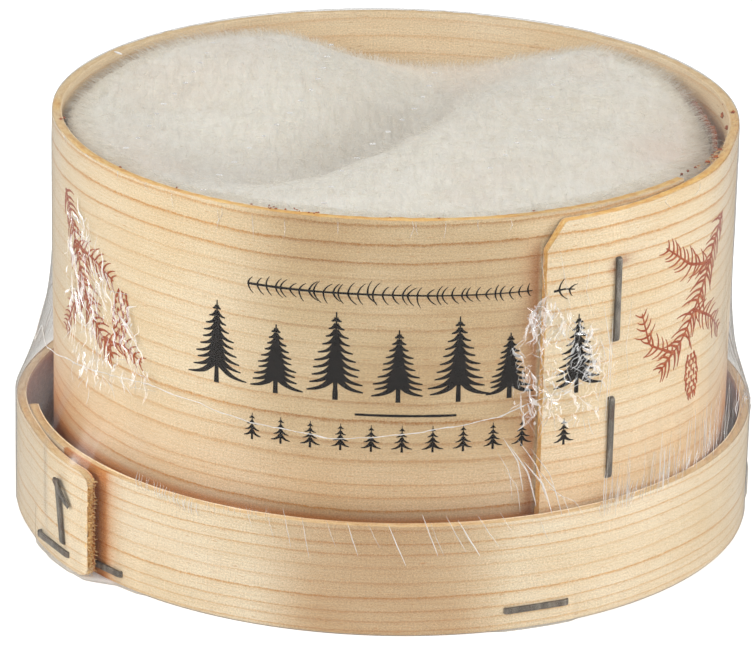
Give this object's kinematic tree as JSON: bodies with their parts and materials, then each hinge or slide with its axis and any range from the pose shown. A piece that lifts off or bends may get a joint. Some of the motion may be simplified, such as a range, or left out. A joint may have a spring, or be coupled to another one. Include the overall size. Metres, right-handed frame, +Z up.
{
  "type": "boxed soft cheese wheel",
  "caption": "Soft white-mould cheese wheel with a wavy downy rind, in a bent spruce box that stands in its upturned lid, wrapped in shrunk clear film.",
  "frame": {"origin": "middle of the flat underside, on the surface it stands on", "axes": "+Z up, -Y towards the front, where the box's overlap and its two upright staples are front right"},
  "size_m": [0.1292, 0.1263, 0.0705],
  "materials": {
    "spruce_wall": "raw peeled spruce, pale cream with orange growth lines",
    "spruce_disc": "raw sawn spruce",
    "staple_steel": "dull zinc-coated wire",
    "spruce_bark": "damp inner bark, reddish brown",
    "mould_rind": "soft white mould down with pinkish and cream patches",
    "clear_film": "thin clear shrink film, glossy, crumpled at the weld"
  },
  "bodies": {
    "root": {"lid_side_band": "spruce_wall", "lid_disc": "spruce_disc", "lid_staple_1": "staple_steel", "lid_staple_2": "staple_steel", "lid_staple_3": "staple_steel", "lid_staple_4": "staple_steel", "lid_staple_5": "staple_steel", "lid_staple_6": "staple_steel", "lid_seam_staple": "staple_steel", "box_side_band": "spruce_wall", "box_base_disc": "spruce_disc", "box_base_staple_1": "staple_steel", "box_base_staple_2": "staple_steel", "box_base_staple_3": "staple_steel", "box_base_staple_4": "staple_steel", "box_base_staple_5": "staple_steel", "box_seam_staple_upper": "staple_steel", "box_seam_staple_lower": "staple_steel", "bark_strap": "spruce_bark", "cheese": "mould_rind", "clear_film": "clear_film"}
  },
  "joints": []
}
